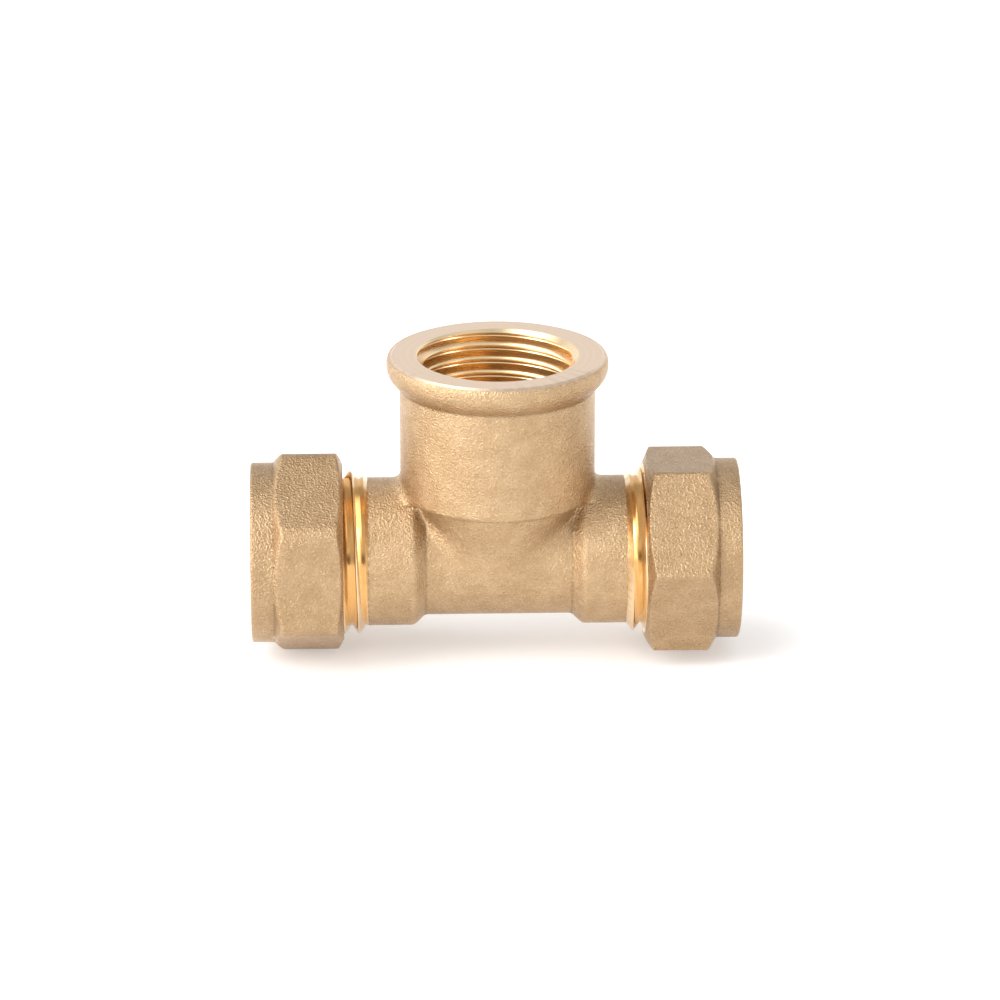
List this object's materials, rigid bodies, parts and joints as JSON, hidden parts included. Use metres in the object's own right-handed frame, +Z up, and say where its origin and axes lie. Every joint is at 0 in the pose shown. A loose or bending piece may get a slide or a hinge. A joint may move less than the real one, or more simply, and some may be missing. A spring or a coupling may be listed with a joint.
{
  "type": "compression tee fitting",
  "caption": "Brass pipe tee with compression nuts and olives on its in-line arms and an internally threaded, flanged branch.",
  "frame": {"origin": "on the branch axis, level with the lowest corner of the nuts, at the centre of the footprint", "axes": "+X along the run towards the right nut, +Z up along the branch axis out of its mouth, -Y towards the front"},
  "size_m": [0.0614, 0.0278, 0.0393],
  "materials": {
    "forged_brass": "fine blasted forging skin, with bright machined faces and threads",
    "nut_brass": "fine blasted skin, bright turned chamfers and threads",
    "olive_brass": "smooth turned"
  },
  "bodies": {
    "tee": {"tee_body": "forged_brass"},
    "left_ring": {"left_olive": "olive_brass"},
    "left_cap": {"left_nut": "nut_brass"},
    "right_ring": {"right_olive": "olive_brass"},
    "right_cap": {"right_nut": "nut_brass"}
  },
  "joints": [
    {"name": "left_olive_slide", "type": "slide", "parent": "tee", "child": "left_ring", "axis": [-1, 0, 0], "range_m": [-0.00102, 0.00395]},
    {"name": "left_nut_turn", "type": "hinge", "parent": "left_ring", "child": "left_cap", "pos_m": [-0.025, 0, 0.01327], "axis": [-1, 0, 0], "range_deg": [-200, 780]},
    {"name": "right_olive_slide", "type": "slide", "parent": "tee", "child": "right_ring", "axis": [1, 0, 0], "range_m": [-0.00027, 0.0047]},
    {"name": "right_nut_turn", "type": "hinge", "parent": "right_ring", "child": "right_cap", "pos_m": [0.024, 0, 0.01327], "axis": [1, 0, 0], "range_deg": [-50, 930]}
  ],
  "couplings": [
    {"joint": "left_olive_slide", "follows": "left_nut_turn", "m_per_rad": 0.00028871},
    {"joint": "right_olive_slide", "follows": "right_nut_turn", "m_per_rad": 0.00028871}
  ]
}
